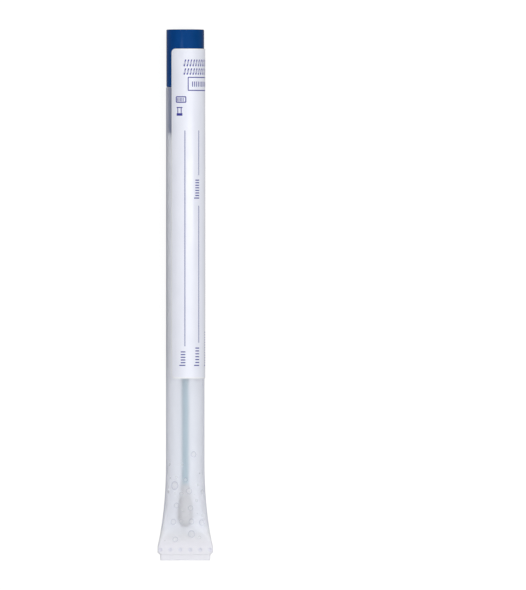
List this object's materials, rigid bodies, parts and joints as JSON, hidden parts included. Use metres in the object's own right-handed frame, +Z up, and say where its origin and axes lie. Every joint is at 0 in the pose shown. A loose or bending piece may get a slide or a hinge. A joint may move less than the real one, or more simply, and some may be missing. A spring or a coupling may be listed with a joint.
{
  "type": "specimen swab tube",
  "caption": "Frosted plastic tube, welded flat at one end, with a push-in cap that carries a fibre-tipped swab, and a write-on label wrapped round it.",
  "frame": {"origin": "floor level under the middle of the whole length, with the tube lying on its side", "axes": "+Y along the tube from the weld towards the cap, +X across the flat weld, +Z up"},
  "size_m": [0.0172, 0.1656, 0.0122],
  "materials": {
    "tube_plastic": "satin",
    "cap_plastic": "satin",
    "stem_plastic": "satin",
    "tip_fibre": "matte",
    "label_film": "satin",
    "label_ink": "satin",
    "moisture": "gloss"
  },
  "bodies": {
    "tube": {"tube": "tube_plastic", "label": "label_film"},
    "stopper": {"cap": "cap_plastic", "swab_stem": "stem_plastic", "swab_tip": "tip_fibre"}
  },
  "joints": [
    {"name": "cap_slide", "type": "slide", "parent": "tube", "child": "stopper", "axis": [0, 1, 0], "range_m": [0, 0.152]}
  ]
}
